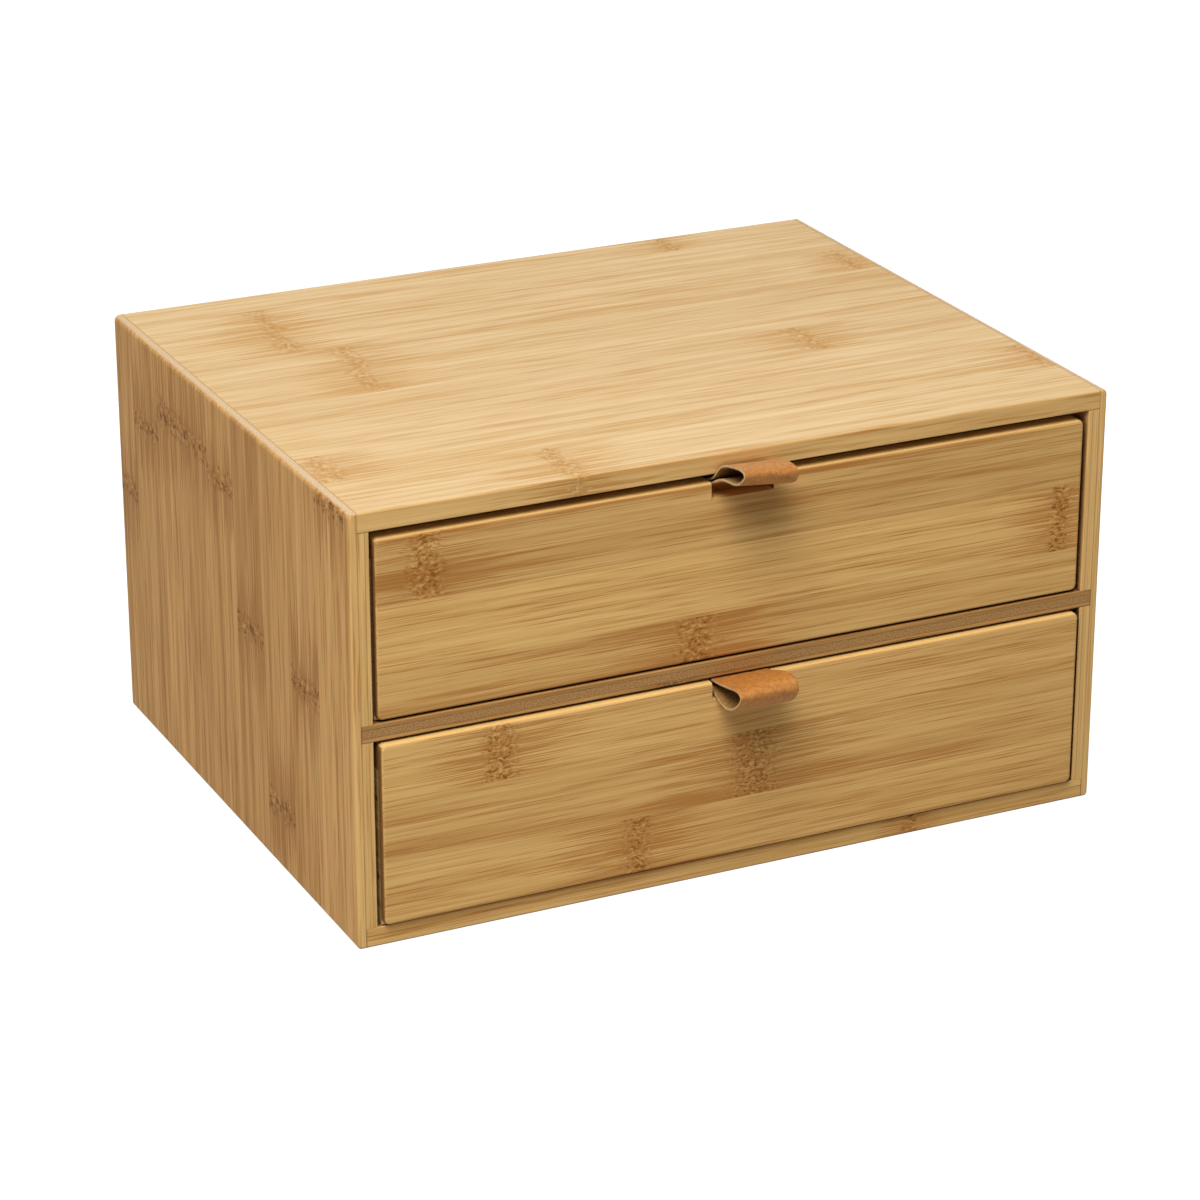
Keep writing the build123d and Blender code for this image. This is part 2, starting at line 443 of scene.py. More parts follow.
    def _place(self, graph: Graph, at: Distances, chance: Socket, ring: Socket) -> Socket:
        """Point in the board's directions, moved on for each strip and bent by a cane ring.

        Args:
            graph: Graph to add to.
            at: Distances in the board.
            chance: Random number of the strip.
            ring: Mask of the cane rings.

        Returns:
            The point.
        """
        moved = {0: chance, 1: self.STRIP_SHIFT, 2: at.along}
        start = graph.add("Math", moved, operation="MULTIPLY_ADD").outputs[0]
        spot = graph.add("CombineXYZ", dict(enumerate(at))).outputs[0]
        swirl = graph.add("TexNoise", {"Vector": spot, "Scale": 1 / self.SWIRL_SIZE}).outputs[0]
        swirl = graph.add("Math", {0: swirl, 1: self.NOISE_MIDDLE}, operation="SUBTRACT").outputs[0]
        bend = graph.add("Math", {0: ring, 1: self.SWIRL_REACH}, operation="MULTIPLY").outputs[0]
        bent = graph.add("Math", {0: swirl, 1: bend, 2: at.across}, operation="MULTIPLY_ADD").outputs[0]
        return graph.add("CombineXYZ", {0: start, 1: bent, 2: at.through}).outputs[0]

    def _ring_masks(self, graph: Graph, at: Distances, strip: Socket) -> tuple[Socket, Socket]:
        """Masks of the cane rings and of the streaky wood beside them.

        Args:
            graph: Graph to add to.
            at: Distances in the board.
            strip: Number of the strip.

        Returns:
            The ragged bands, and their wider halos.
        """
        if not self.rings:
            none = graph.add("Math", {0: at.along, 1: 0.0}, operation="MULTIPLY").outputs[0]
            return none, none
        place = graph.add("CombineXYZ", dict(enumerate(at))).outputs[0]
        ragged = self._layer(graph, place, self.RAGGED_SIZE, self.GRAIN_DETAIL)
        ragged = graph.add("Math", {0: ragged, 1: self.NOISE_MIDDLE}, operation="SUBTRACT").outputs[0]
        uneven = {0: ragged, 1: self.RAGGED_REACH, 2: at.along}
        along = graph.add("Math", uneven, operation="MULTIPLY_ADD").outputs[0]
        masks = [0.0, 0.0]
        for ring in self.rings:
            off = graph.add("Math", {0: along, 1: ring.along}, operation="SUBTRACT").outputs[0]
            off = graph.add("Math", {0: off}, operation="ABSOLUTE").outputs[0]
            here = self._on_strip(graph, strip, ring.strip)
            for which, reach in enumerate((ring.half_length, ring.half_length * self.HALO_SHARE)):
                fade = Ramp(*(reach * share for share in self.RING_FADE))
                near = graph.add("MapRange", fade.of(off), interpolation_type="SMOOTHSTEP").outputs[0]
                near = graph.add("Math", {0: near, 1: here}, operation="MULTIPLY").outputs[0]
                masks[which] = graph.add("Math", {0: masks[which], 1: near}, operation="MAXIMUM").outputs[0]
        return masks[0], masks[1]

    def _wood_colour(self, graph: Graph, tone: BambooTone, grain: Grain) -> Socket:
        """Colour of the fibres: soft gold with short dark hairs that crowd into brown streaks.

        Args:
            graph: Graph to add to.
            tone: Colours to use.
            grain: Noises and masks of the fibres.

        Returns:
            The colour.
        """
        pale, streaked = linear(tone.pale), linear(tone.streak)
        lit = graph.add("MapRange", self.FIBRE_LIGHT.of(grain.fibre)).outputs[0]
        colour = graph.add("Mix", {0: lit, 6: linear(tone.mid), 7: pale}, data_type="RGBA").outputs[2]
        broad = self.STREAK_BROWN.of(grain.streak)
        broad = graph.add("MapRange", broad, interpolation_type="SMOOTHSTEP").outputs[0]
        broad = graph.add("Math", {0: broad, 1: grain.brown}, operation="MULTIPLY").outputs[0]
        crowd = grain.hair
        for noise, share in ((grain.streak, self.STREAK_CROWDING), (grain.halo, self.HALO_CROWDING)):
            crowd = graph.add("Math", {0: noise, 1: share, 2: crowd}, operation="MULTIPLY_ADD").outputs[0]
        dark = graph.add("MapRange", self.HAIR_DARK.of(crowd)).outputs[0]
        light = graph.add("MapRange", self.HAIR_LIGHT.of(crowd)).outputs[0]
        for mask, paint in ((broad, streaked), (dark, streaked), (light, pale)):
            colour = graph.add("Mix", {0: mask, 6: colour, 7: paint}, data_type="RGBA").outputs[2]
        value = graph.add("MapRange", self.BROWN_VALUE.of(grain.brown)).outputs[0]
        return graph.add("HueSaturation", {"Value": value, "Color": colour}).outputs[0]

    def _ring_colour(self, graph: Graph, colour: Socket, ring: Socket, fleck: Socket) -> Socket:
        """Brown stain of the cane rings over the wood, with rippled dark flecks and light flecks, the light
        ones partly painted highlight.

        Args:
            graph: Graph to add to.
            colour: Colour of the wood.
            ring: Mask of the cane rings.
            fleck: Noise of the flecks.

        Returns:
            The colour with its rings.
        """
        layers = (
            (self.RING_STAIN, self.tone.streak),
            (self.RING_DARK, self.tone.ring),
            # Pale fibre and painted highlight on the ring's ridges
            (self.RING_PALE_AND_HIGHLIGHT, self.tone.pale),
        )
        for ramp, paint in layers:
            mask = graph.add("MapRange", ramp.of(fleck)).outputs[0]
            mask = graph.add("Math", {0: mask, 1: ring}, operation="MULTIPLY").outputs[0]
            colour = graph.add("Mix", {0: mask, 6: colour, 7: linear(paint)}, data_type="RGBA").outputs[2]
        return colour

    def _end_colour(self, graph: Graph, colour: Socket, at: Distances) -> Socket:
        """End grain with dark pores, where the surface cuts the fibres.

        Args:
            graph: Graph to add to.
            colour: Colour of the wood.
            at: Distances in the board.

        Returns:
            The colour with its end grain.
        """
        cut = self.END_FACING.of(self._facing(graph, self.lay.along))
        cut = graph.add("MapRange", cut).outputs[0]
        if self.crossed_core:
            low, high = self.plies
            core = {0: at.through, 1: (low + high) / 2, 2: (high - low) / 2}
            core = graph.add("Math", core, operation="COMPARE").outputs[0]
            core = {0: core, 1: self._facing(graph, self.lay.across)}
            core = graph.add("Math", core, operation="MULTIPLY").outputs[0]
            cut = graph.add("Math", {0: cut, 1: core}, operation="MAXIMUM").outputs[0]
        level = graph.add("Math", {0: at.along, 1: at.across}, operation="ADD").outputs[0]
        section = graph.add("CombineXYZ", {0: level, 1: at.through}).outputs[0]
        pores = {"Vector": section, "Scale": 1 / self.PORE_SIZE}
        pores = graph.add("TexVoronoi", pores, voronoi_dimensions="2D").outputs["Distance"]
        pores = graph.add("MapRange", self.PORE_WALL.of(pores)).outputs[0]
        ends = {0: pores, 6: linear(self.tone.pore), 7: linear(self.tone.end)}
        ends = graph.add("Mix", ends, data_type="RGBA").outputs[2]
        return graph.add("Mix", {0: cut, 6: colour, 7: ends}, data_type="RGBA").outputs[2]

    def _seam_colour(self, graph: Graph, colour: Socket, edge: Socket, at: Distances) -> Socket:
        """Hairlines of glue at the strips' seams, between plies and where the board ends in its housing.

        Args:
            graph: Graph to add to.
            colour: Colour of the wood.
            edge: Distance from the strip's first seam.
            at: Distances in the board.

        Returns:
            The colour with its seams.
        """
        seam = graph.add("MapRange", self.SEAM_LINE.of(edge)).outputs[0]
        lines = []
        if self.end_line is not None:
            reach = graph.add("Math", {0: at.along}, operation="ABSOLUTE").outputs[0]
            start = self.end_line - self.HOUSING_LINE
            lines.append(Ramp(start, self.end_line, 0.0, self.HOUSING_SHADE).of(reach))
        for depth in self.plies:
            off = graph.add("Math", {0: at.through, 1: depth}, operation="SUBTRACT").outputs[0]
            off = graph.add("Math", {0: off}, operation="ABSOLUTE").outputs[0]
            lines.append(self.PLY_LINE.of(off))
        for line in lines:
            line = graph.add("MapRange", line).outputs[0]
            seam = graph.add("Math", {0: seam, 1: line}, operation="MAXIMUM").outputs[0]
        return graph.add("Mix", {0: seam, 6: colour, 7: linear(self.tone.ring)}, data_type="RGBA").outputs[2]

    def _painted_top_highlight(self, graph: Graph, colour: Socket, at: Distances) -> Socket:
        """Painted highlight on the rounded top edge, where it faces up.

        Args:
            graph: Graph to add to.
            colour: Colour of the wood.
            at: Distances in the board.

        Returns:
            The colour with its painted highlight.
        """
        normal = graph.add("NewGeometry").outputs["Normal"]
        rise = self.HIGHLIGHT_FACING.of(graph.add("SeparateXYZ", {0: normal}).outputs["Z"])
        rise = graph.add("MapRange", rise, interpolation_type="SMOOTHSTEP").outputs[0]
        high = graph.add("Math", {0: at.across, 1: self.highlight_above}, operation="GREATER_THAN").outputs[0]
        rise = graph.add("Math", {0: rise, 1: high}, operation="MULTIPLY").outputs[0]
        top_highlight = {0: rise, 6: colour, 7: linear(self.tone.top_highlight)}
        return graph.add("Mix", top_highlight, data_type="RGBA").outputs[2]

    def _painted_gap_shade(self, graph: Graph, colour: Socket) -> Socket:
        """Painted shade, by ambient occlusion, where a shut drawer or the floor closes in on the case.

        Args:
            graph: Graph to add to.
            colour: Colour of the wood.

        Returns:
            The colour with painted shade in its gaps.
        """
        reach = {"Distance": self.GAP_REACH * MM}
        shown = graph.add("AmbientOcclusion", reach, samples=self.GAP_SAMPLES).outputs["AO"]
        shown = graph.add("MapRange", self.GAP_OPEN.of(shown), interpolation_type="SMOOTHSTEP").outputs[0]
        return graph.add("Mix", {0: shown, 6: linear(self.GAP_SHADE_TONE), 7: colour}, data_type="RGBA").outputs[2]


RING_CHANCE = 0.8
RING_HALF_LENGTHS = (5.0, 8.0)


def scattered_rings(
    node: str, lay: Lay, first_seam: float, strip_width: float, seed: int
) -> tuple[CaneRing, ...]:
    """Put one cane ring at a seeded place on most strips of a board.

    Args:
        node: Board to cover.
        lay: How the board lies.
        first_seam: Place of one seam across the board, in millimetres.
        strip_width: Width of a strip, in millimetres.
        seed: Seed of the places.

    Returns:
        The rings.
    """
    low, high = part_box(node)
    along, across = Vector(lay.along), Vector(lay.across)
    ends = (low.dot(along) / MM, high.dot(along) / MM)
    strips = [math.floor((corner.dot(across) / MM - first_seam) / strip_width) for corner in (low, high)]
    places = random.Random(seed)
    rings = []
    for strip in range(strips[0], strips[1] + 1):
        along_place = places.uniform(*ends)
        if places.random() < RING_CHANCE:
            rings.append(CaneRing(strip, along_place, places.uniform(*RING_HALF_LENGTHS)))
    return tuple(rings)


@dataclass(frozen=True)
class LeatherFinish:
    """One side of a vegetable tanned cowhide strap.

    The grain side is smooth, with fine pebbles and cloudy tan; the flesh side and the cut edge are pale and
    fuzzy. Sizes are millimetres.
    """

    name: str
    light: str
    dark: str
    roughness: float
    cloud_size: float
    pebble_size: float
    relief: float

    CLOUD_DETAIL = 4.0
    CLOUD_ROUGHNESS = 0.65
    CLOUD_LIGHT = Ramp(0.32, 0.66)
    PEBBLE_CHANCE = 0.9
    CREASE_DARK = Ramp(0.35, 0.8, 0.0, 0.4)
    RELIEF_HEIGHT = 0.25
    SPECULAR = 0.25

    def material(self) -> bpy.types.Material:
        """Build the material of this side.

        Returns:
            The finished material.
        """
        material, graph = new_material(self.name)
        light, dark = linear(self.light), linear(self.dark)
        place = graph.add("TexCoord").outputs["Object"]
        place = graph.add("VectorMath", {0: place, "Scale": 1 / MM}, operation="SCALE").outputs[0]
        cloud = {"Detail": self.CLOUD_DETAIL, "Roughness": self.CLOUD_ROUGHNESS}
        cloud = graph.add("TexNoise", {"Vector": place, "Scale": 1 / self.cloud_size, **cloud}).outputs[0]
        cloud = graph.add("MapRange", self.CLOUD_LIGHT.of(cloud)).outputs[0]
        pebble = {"Vector": place, "Scale": 1 / self.pebble_size, "Randomness": self.PEBBLE_CHANCE}
        pebble = graph.add("TexVoronoi", pebble).outputs["Distance"]
        crease = graph.add("MapRange", self.CREASE_DARK.of(pebble)).outputs[0]
        colour = graph.add("Mix", {0: cloud, 6: dark, 7: light}, data_type="RGBA").outputs[2]
        colour = graph.add("Mix", {0: crease, 6: colour, 7: dark}, data_type="RGBA").outputs[2]
        height = graph.add("Math", {0: cloud, 1: pebble}, operation="SUBTRACT").outputs[0]
        bump = {"Strength": self.relief, "Distance": self.RELIEF_HEIGHT * MM, "Height": height}
        surface = {
            "Base Color": colour,
            "Roughness": self.roughness,
            "Specular IOR Level": self.SPECULAR,
            "Normal": graph.add("Bump", bump).outputs[0],
        }
        surface = graph.add("BsdfPrincipled", surface).outputs[0]
        graph.add("OutputMaterial", {"Surface": surface})
        return material


@dataclass(frozen=True)
class SteelFinish:
    """Zinc plated steel wire, drawn and headed: dull grey, with a faint cloud of rubbed spots."""

    name: str
    light: str
    dark: str
    spot_size: float = 0.8

    SPOT_DETAIL = 3.0
    SPOT_LIGHT = Ramp(0.35, 0.65)
    ROUGHNESS = Ramp(0.0, 1.0, 0.35, 0.6)

    def material(self) -> bpy.types.Material:
        """Build the steel's material.

        Returns:
            The finished material.
        """
        material, graph = new_material(self.name)
        place = graph.add("TexCoord").outputs["Object"]
        spots = {"Vector": place, "Scale": 1 / (self.spot_size * MM), "Detail": self.SPOT_DETAIL}
        spots = graph.add("TexNoise", spots).outputs[0]
        shade = graph.add("MapRange", self.SPOT_LIGHT.of(spots)).outputs[0]
        colour = {0: shade, 6: linear(self.dark), 7: linear(self.light)}
        colour = graph.add("Mix", colour, data_type="RGBA").outputs[2]
        rough = graph.add("MapRange", self.ROUGHNESS.of(spots)).outputs[0]
        surface = {"Base Color": colour, "Metallic": 1.0, "Roughness": rough}
        surface = graph.add("BsdfPrincipled", surface).outputs[0]
        graph.add("OutputMaterial", {"Surface": surface})
        return material


TOP_TONE = BambooTone(
    pale="#E4C697", mid="#D7B582", streak="#C6965A", ring="#BC8C52", end="#DDBB8C", pore="#C79E66"
)
EDGE_TONE = BambooTone(
    pale="#E9BF7C", mid="#D7AA6A", streak="#BA8346", ring="#8A5E2C", end="#DDBB8C", pore="#C79E66"
)
SIDE_TONE = BambooTone(
    pale="#EBB773", mid="#D29E5D", streak="#AF793E", ring="#714722", end="#DCC09A", pore="#C6A67E"
)
# Its end and pore colours are the wood's end grain made much darker: painted shade for the narrow gaps at
# the fronts' ends
FRONT_TONE = BambooTone(
    pale="#EBC07A", mid="#D9AB67", streak="#B5783B", ring="#7F521E", end="#8E6538", pore="#6A4726"
)
INNER_TONE = BambooTone(
    pale="#E4BC7E", mid="#D6A969", streak="#B5823F", ring="#8A5E2C", end="#DDBB8A", pore="#B98F5A"
)
SHELF_TONE = BambooTone(
    pale="#D8A868", mid="#C39255", streak="#94673A", ring="#63431F", end="#B98E5A", pore="#956C42"
)

# The grain side, the flesh side and the cut edge of the straps
LEATHER_SIDES = (
    LeatherFinish(
        "tan_leather_grain", "#CF8E45", "#A46830",
        roughness=0.55, cloud_size=1.8, pebble_size=0.6, relief=0.3,
    ),
    LeatherFinish(
        "tan_leather_flesh", "#BA8F4F", "#8A6536",
        roughness=0.9, cloud_size=1.2, pebble_size=0.35, relief=0.6,
    ),
    LeatherFinish(
        "tan_leather_cut_edge", "#DDBF94", "#BE9969",
        roughness=0.85, cloud_size=0.9, pebble_size=0.4, relief=0.4,
    ),
)


def dress(node: bpy.types.Object, material: bpy.types.Material) -> None:
    """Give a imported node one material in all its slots.

    Args:
        node: Packed object.
        material: Material to show.
    """
    if not node.material_slots:
        node.data.materials.append(material)
    for slot in node.material_slots:
        slot.material = material


@dataclass
class Case:
    """Fixed case of six bamboo boards, with the pins that hold its back. Sizes are millimetres."""

    nodes: Mapping[str, bpy.types.Object]
    steel: bpy.types.Material
    first_seam: float = -8.0
    back_seam: float = 2.0
    level_strip: float = 28.9
    upright_strip: float = 28.7
    side_core: float = 3.0
    shelf_face: float = 1.8
    right_seed: int = 23
    back_seed: int = 53

    # Strip, place along it and half length of each cane ring
    TOP_RINGS = tuple(starmap(CaneRing, (
        (4, 88, 6), (3, -107, 6), (2, -110, 6), (2, 148, 6), (1, -93, 6), (0, -97, 6),
        (-1, 82, 7), (-3, -150, 7), (-3, 155, 6), (-4, -68, 7), (-5, -68, 5),
    )))
    LEFT_RINGS = tuple(starmap(CaneRing, (
        (4, 103, 6), (3, 137, 6), (2, 150, 8), (1, 149, 6), (0, 143, 6),
        (-1, 91, 6), (-2, 26, 7), (-3, 88, 7), (-4, 173, 7),
    )))
    BOTTOM_RINGS = (CaneRing(-5, 77, 4),)
    SHELF_RINGS = (CaneRing(-5, -28, 9),)

    # How brown each strip is, by its number
    TOP_BROWNS = (
        (4, 0.1), (3, 0.1), (2, 0.1), (1, 0.3), (0, 0.2),
        (-1, 0.3), (-2, 0.15), (-3, 0.2), (-4, 0.1), (-5, 0.3),
    )
    LEFT_BROWNS = (
        (4, 0.5), (3, 0.55), (2, 0.3), (1, 0.6), (0, 0.4),
        (-1, 0.7), (-2, 0.45), (-3, 0.4), (-4, 0.1), (-5, 0.1),
    )
    RIGHT_BROWNS = (
        (4, 0.3), (3, 0.6), (2, 0.2), (1, 0.5), (0, 0.35),
        (-1, 0.6), (-2, 0.25), (-3, 0.5), (-4, 0.3), (-5, 0.1),
    )

    # How much coarser than real the grain is drawn on the boards that the camera sees at a slant
    TOP_COARSE = 2.1
    LEFT_COARSE = 2.3

    def boards(self) -> list[BambooBoard]:
        """Boards of the case, each with its own strips and rings.

        Returns:
            The boards.
        """
        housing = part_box("top_panel")[1].x / MM
        shelf_low, shelf_high = (corner.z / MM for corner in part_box("middle_shelf"))
        right_rings = scattered_rings(
            "right_side_panel", Lay.UPRIGHT_MIRRORED, self.first_seam, self.upright_strip, self.right_seed
        )
        back_rings = scattered_rings(
            "back_panel", Lay.FACING, self.back_seam, self.upright_strip, self.back_seed
        )
        # The level and upright boards of the case get painted shade in their gaps
        level = partial(
            BambooBoard,
            lay=Lay.LEVEL,
            first_seam=self.first_seam,
            strip_width=self.level_strip,
            end_line=housing,
            shaded_gaps=True,
        )
        upright = partial(
            BambooBoard,
            tone=SIDE_TONE,
            edge_tone=EDGE_TONE,
            first_seam=self.first_seam,
            strip_width=self.upright_strip,
            plies=(-housing, self.side_core - housing),
            shaded_gaps=True,
        )
        return [
            level(
                "top_panel",
                tone=TOP_TONE,
                edge_tone=EDGE_TONE,
                seed=3,
                rings=self.TOP_RINGS,
                browns=self.TOP_BROWNS,
                coarse=self.TOP_COARSE,
            ),
            upright(
                "left_side_panel",
                lay=Lay.UPRIGHT,
                seed=11,
                rings=self.LEFT_RINGS,
                browns=self.LEFT_BROWNS,
                coarse=self.LEFT_COARSE,
            ),
            upright(
                "right_side_panel",
                lay=Lay.UPRIGHT_MIRRORED,
                seed=self.right_seed,
                rings=right_rings,
                browns=self.RIGHT_BROWNS,
            ),
            level("bottom_panel", tone=FRONT_TONE, seed=31, rings=self.BOTTOM_RINGS),
            level(
                "middle_shelf",
                tone=SHELF_TONE,
                seed=41,
                rings=self.SHELF_RINGS,
                plies=(shelf_low + self.shelf_face, shelf_high - self.shelf_face),
                crossed_core=True,
            ),
            BambooBoard(
                "back_panel",
                lay=Lay.FACING,
                tone=INNER_TONE,
                seed=self.back_seed,
                first_seam=self.back_seam,
                strip_width=self.upright_strip,
                rings=back_rings,
            ),
        ]

    def build(self) -> None:
        """Dress the boards and the pins."""
        for board in self.boards():
            dress(self.nodes[board.node], board.material())
            LOG.info("%s dressed in bamboo", board.node)
        dress(self.nodes["back_panel_pins"], self.steel)
        LOG.info("back_panel_pins dressed in steel")


@dataclass(frozen=True)
class LoopShape:
    """Hand of a leather loop: its middle line at the left and right edge of the strap.

    Points are millimetres out from the drawer face and up from its top edge, from the tail that lies on the
    drawer front, under the loop, round its tip and back over the top to the outer tail.
    """

    left: tuple[Point, ...]
    right: tuple[Point, ...]
    flat_length: float


UPPER_LOOP = LoopShape(
    left=(
        (-6.2, -2.4), (-2.2, -0.9), (2.6, 1.8), (6.2, 3.3), (11.0, 4.1), (16.0, 4.5),
        (19.8, 5.8), (22.6, 8.0), (24.5, 9.8), (24.4, 11.5), (21.6, 12.1), (16.4, 11.4),
        (9.6, 9.9), (4.9, 8.0), (2.2, 5.3), (0.5, 2.7), (-4.0, -0.1),
    ),
    right=(
        (-6.2, -2.4), (-2.2, -0.9), (2.6, 1.5), (5.8, 1.5), (9.6, 0.9), (13.6, 1.1),
        (17.3, 2.4), (19.8, 4.2), (21.1, 6.5), (20.6, 8.3), (17.6, 9.1), (13.0, 8.9),
        (8.2, 8.0), (4.6, 6.9), (2.1, 4.9), (0.5, 2.7), (-4.0, -0.1),
    ),
    flat_length=113.0,
)
LOWER_LOOP = LoopShape(
    left=(
        (-5.0, -3.2), (-1.4, -4.1), (2.4, -5.9), (6.4, -7.1), (11.0, -7.0), (15.0, -5.4),
        (18.6, -2.8), (21.1, 0.0), (21.5, 2.0), (19.4, 3.4), (15.6, 3.0), (10.0, 1.8),
        (4.0, 0.75), (0.0, 0.3), (-4.6, -0.1),
    ),
    right=(
        (-5.0, -3.2), (-1.4, -4.1), (2.5, -6.0), (6.6, -7.2), (11.6, -7.2), (16.0, -5.6),
        (19.6, -2.6), (22.1, 0.4), (22.2, 3.0), (19.6, 5.2), (15.2, 5.3), (9.6, 4.1),
        (4.2, 2.1), (0.0, 0.35), (-4.6, -0.1),
    ),
    flat_length=108.0,
)


@dataclass
class LeatherPull:
    """Leather strap folded into a loop, both tails tacked to the back of the drawer front.

    Sizes are millimetres. Each tail leans a little at its bend and is straight from a step below it.
    """

    drawer: str
    loop: LoopShape
    sides: tuple[bpy.types.Material, bpy.types.Material, bpy.types.Material]
    width: float = 24.4
    thickness: float = 0.95
    fold_gap: float = 0.8
    tail: float = 18.0
    notch_depth: float = 6.5
    bend_lean: float = 0.1
    inner_bend: float = -0.4
    inner_straight: float = -4.0
    outer_bend: float = 1.2
    outer_straight: float = -3.0
    burnish: float = 0.18
    burnish_segments: int = 2
    sharp_angle: float = 50.0
    cuts: int = 5
    smoothing: int = 2

    def build(self) -> bpy.types.Object:
        """Model the strap, ride it on its drawer and let it stand for its plain solid.

        Returns:
            The finished strap.
        """
        name = f"{self.drawer}_pull_leather"
        mesh = bpy.data.meshes.new(name)
        shape = self._sheet()
        shape.to_mesh(mesh)
        shape.free()
        mesh.shade_smooth()
        strap = bpy.data.objects.new(name, mesh)
        bpy.context.scene.collection.objects.link(strap)
        for material in self.sides:
            mesh.materials.append(material)
        self._finish(strap)
        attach(strap, self.drawer)
        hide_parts(f"{self.drawer}_pull_strap")
        LOG.info("%s folded from %.1f by %.0f mm of leather", name, self.width, self.loop.flat_length)
        return strap

    def _line(self, loop: tuple[Point, ...], side: float) -> list[Vector]:
        """Middle line of the strap at one of its edges.

        Args:
            loop: Points of the loop there.
            side: Minus 1 for the left edge and 1 for the right one.

        Returns:
            Points in the frame, in metres.
        """
        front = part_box(f"{self.drawer}_front")
        face, depth = front[0].y, (front[1].y - front[0].y) / MM
        inner = -depth - self.thickness / 2
        outer = inner - self.thickness - self.fold_gap
        end = -self.notch_depth - self.tail
        start = (loop[0][1] - self.notch_depth) / 2
        finish = (loop[-1][1] - self.notch_depth) / 2
        lower = [
            (inner, end),
            (inner, (end + start) / 2),
            (inner, start + self.inner_straight),
            (inner + self.bend_lean, start + self.inner_bend),
        ]
        upper = [
            (outer + self.bend_lean, finish + self.outer_bend),
            (outer, finish + self.outer_straight),
            (outer, (end + finish) / 2),
            (outer, end),
        ]
        x = side * self.width / 2 * MM
        return [Vector((x, face - out * MM, front[1].z + up * MM)) for out, up in (*lower, *loop, *upper)]

    def _sheet(self) -> bmesh.types.BMesh:
        """Thin sheet of the strap: its left edge drawn across to its right one.

        Returns:
            The sheet.
        """
        shape = bmesh.new()
        left = [shape.verts.new(point) for point in self._line(self.loop.left, -1)]
        edges = [shape.edges.new(pair) for pair in zip(left, left[1:])]
        drawn = bmesh.ops.extrude_edge_only(shape, edges=edges)["geom"]
        right = [item for item in drawn if isinstance(item, bmesh.types.BMVert)]
        targets = dict(zip((tuple(vert.co) for vert in left), self._line(self.loop.right, 1)))
        for vert in right:
            vert.co = targets[tuple(vert.co)]
        half = self.width * MM / 2
        across = [edge for edge in shape.edges if abs(edge.verts[0].co.x - edge.verts[1].co.x) > half]
        bmesh.ops.subdivide_edges(shape, edges=across, cuts=self.cuts, use_grid_fill=True)
        bmesh.ops.recalc_face_normals(shape, faces=shape.faces)
        return shape

    def _finish(self, strap: bpy.types.Object) -> None:
        """Round the fold and thicken the leather, with its own materials inside and on the cut edge.

        Args:
            strap: Strap to finish.
        """
        smooth = strap.modifiers.new("rounded_fold", "SUBSURF")
        smooth.levels = smooth.render_levels = self.smoothing
        wall = strap.modifiers.new("leather_thickness", "SOLIDIFY")
        wall.thickness = self.thickness * MM
        wall.offset = 0.0
        wall.use_even_offset = True
        wall.material_offset = 1
        wall.material_offset_rim = 2
        edge = strap.modifiers.new("burnished_edge", "BEVEL")
        edge.width = self.burnish * MM
        edge.segments = self.burnish_segments
        edge.limit_method = "ANGLE"
        edge.angle_limit = math.radians(self.sharp_angle)


@dataclass
class Drawer:
    """One drawer: bamboo front and walls, thin bottom, pins, tacks and its leather pull."""

    name: str
    seed: int
    front_seam: float
    front_rings: tuple[CaneRing, ...]
    front_browns: tuple[tuple[int, float], ...]
    loop: LoopShape
    nodes: Mapping[str, bpy.types.Object]
    leather: tuple[bpy.types.Material, bpy.types.Material, bpy.types.Material]
    steel: bpy.types.Material
    front_strip: float = 27.2
    wall_strip: float = 28.7
    # Depth below the top of the front where faces turned up get the painted highlight, in millimetres
    highlight_depth: float = 3.0

    WALLS = {
        "left_side": Lay.RUNNING_BACK,
        "right_side": Lay.RUNNING_BACK,
        "back": Lay.FACING,
        "bottom": Lay.LEVEL,
    }

    # How much coarser than real the fibres of the front are drawn, so that they show
    FRONT_COARSE = 1.1

    # Steps that give each wall a seed and a first seam of its own
    SEED_STEP = 7
    SEAM_CYCLE = 29

    def boards(self) -> Iterable[BambooBoard]:
        """Boards of the drawer, each with its own strips and rings.

        Returns:
            The boards, one after the other.
        """
        yield BambooBoard(
            f"{self.name}_front",
            lay=Lay.FACING,
            tone=FRONT_TONE,
            seed=self.seed,
            first_seam=self.front_seam,
            strip_width=self.front_strip,
            rings=self.front_rings,
            browns=self.front_browns,
            coarse=self.FRONT_COARSE,
            # Painted highlight on the front's upward-facing top edge
            highlight_above=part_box(f"{self.name}_front")[1].z / MM - self.highlight_depth,
        )
        for step, (wall, lay) in enumerate(self.WALLS.items(), start=1):
            node = f"{self.name}_{wall}"
            seed = self.seed + self.SEED_STEP * step
            seam = float(seed % self.SEAM_CYCLE)
            rings = scattered_rings(node, lay, seam, self.wall_strip, seed)
            yield BambooBoard(node, lay, INNER_TONE, seed, seam, self.wall_strip, rings)

    def build(self) -> None:
        """Dress the boards and metal, and fold the pull."""
        for board in self.boards():
            dress(self.nodes[board.node], board.material())
            LOG.info("%s dressed in bamboo", board.node)
        for metal in ("pins", "pull_tacks"):
            dress(self.nodes[f"{self.name}_{metal}"], self.steel)
            LOG.info("%s_%s dressed in steel", self.name, metal)
        LeatherPull(self.name, self.loop, self.leather).build()


